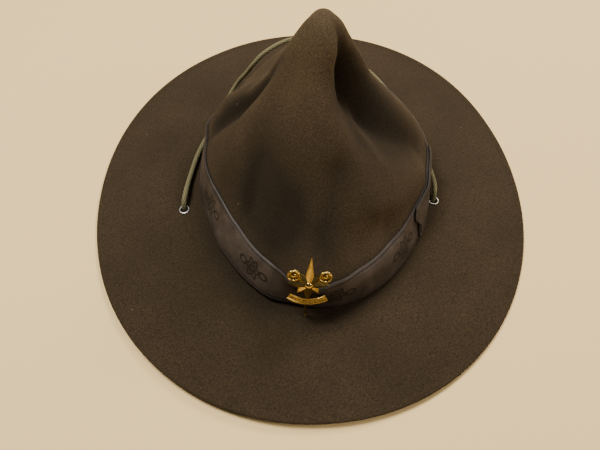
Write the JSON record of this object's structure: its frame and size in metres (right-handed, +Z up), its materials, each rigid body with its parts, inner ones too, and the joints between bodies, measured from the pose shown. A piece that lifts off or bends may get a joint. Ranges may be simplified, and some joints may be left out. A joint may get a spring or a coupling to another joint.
{
  "type": "campaign hat",
  "caption": "Campaign hat in brown felt with a dented peaked crown, a flat brim, a leather band, a brass badge and a braided chin cord through nickel eyelets",
  "frame": {"origin": "on the surface on which the hat rests, below the middle of the brim", "axes": "+Z is up to the peak of the crown, -Y is the front with the badge and +X is the wearer's left, where the tongue of the band lies"},
  "size_m": [0.324, 0.3744, 0.141],
  "materials": {
    "felt": "matte",
    "band_leather": "satin",
    "nickel": "gloss",
    "brass": "gloss",
    "cord_braid": "matte"
  },
  "bodies": {
    "root": {"felt_body": "felt", "hat_band": "band_leather", "band_tongue": "band_leather", "eyelet_left": "nickel", "eyelet_right": "nickel", "badge": "brass", "chin_cord": "cord_braid", "cord_knot": "cord_braid"}
  },
  "joints": []
}
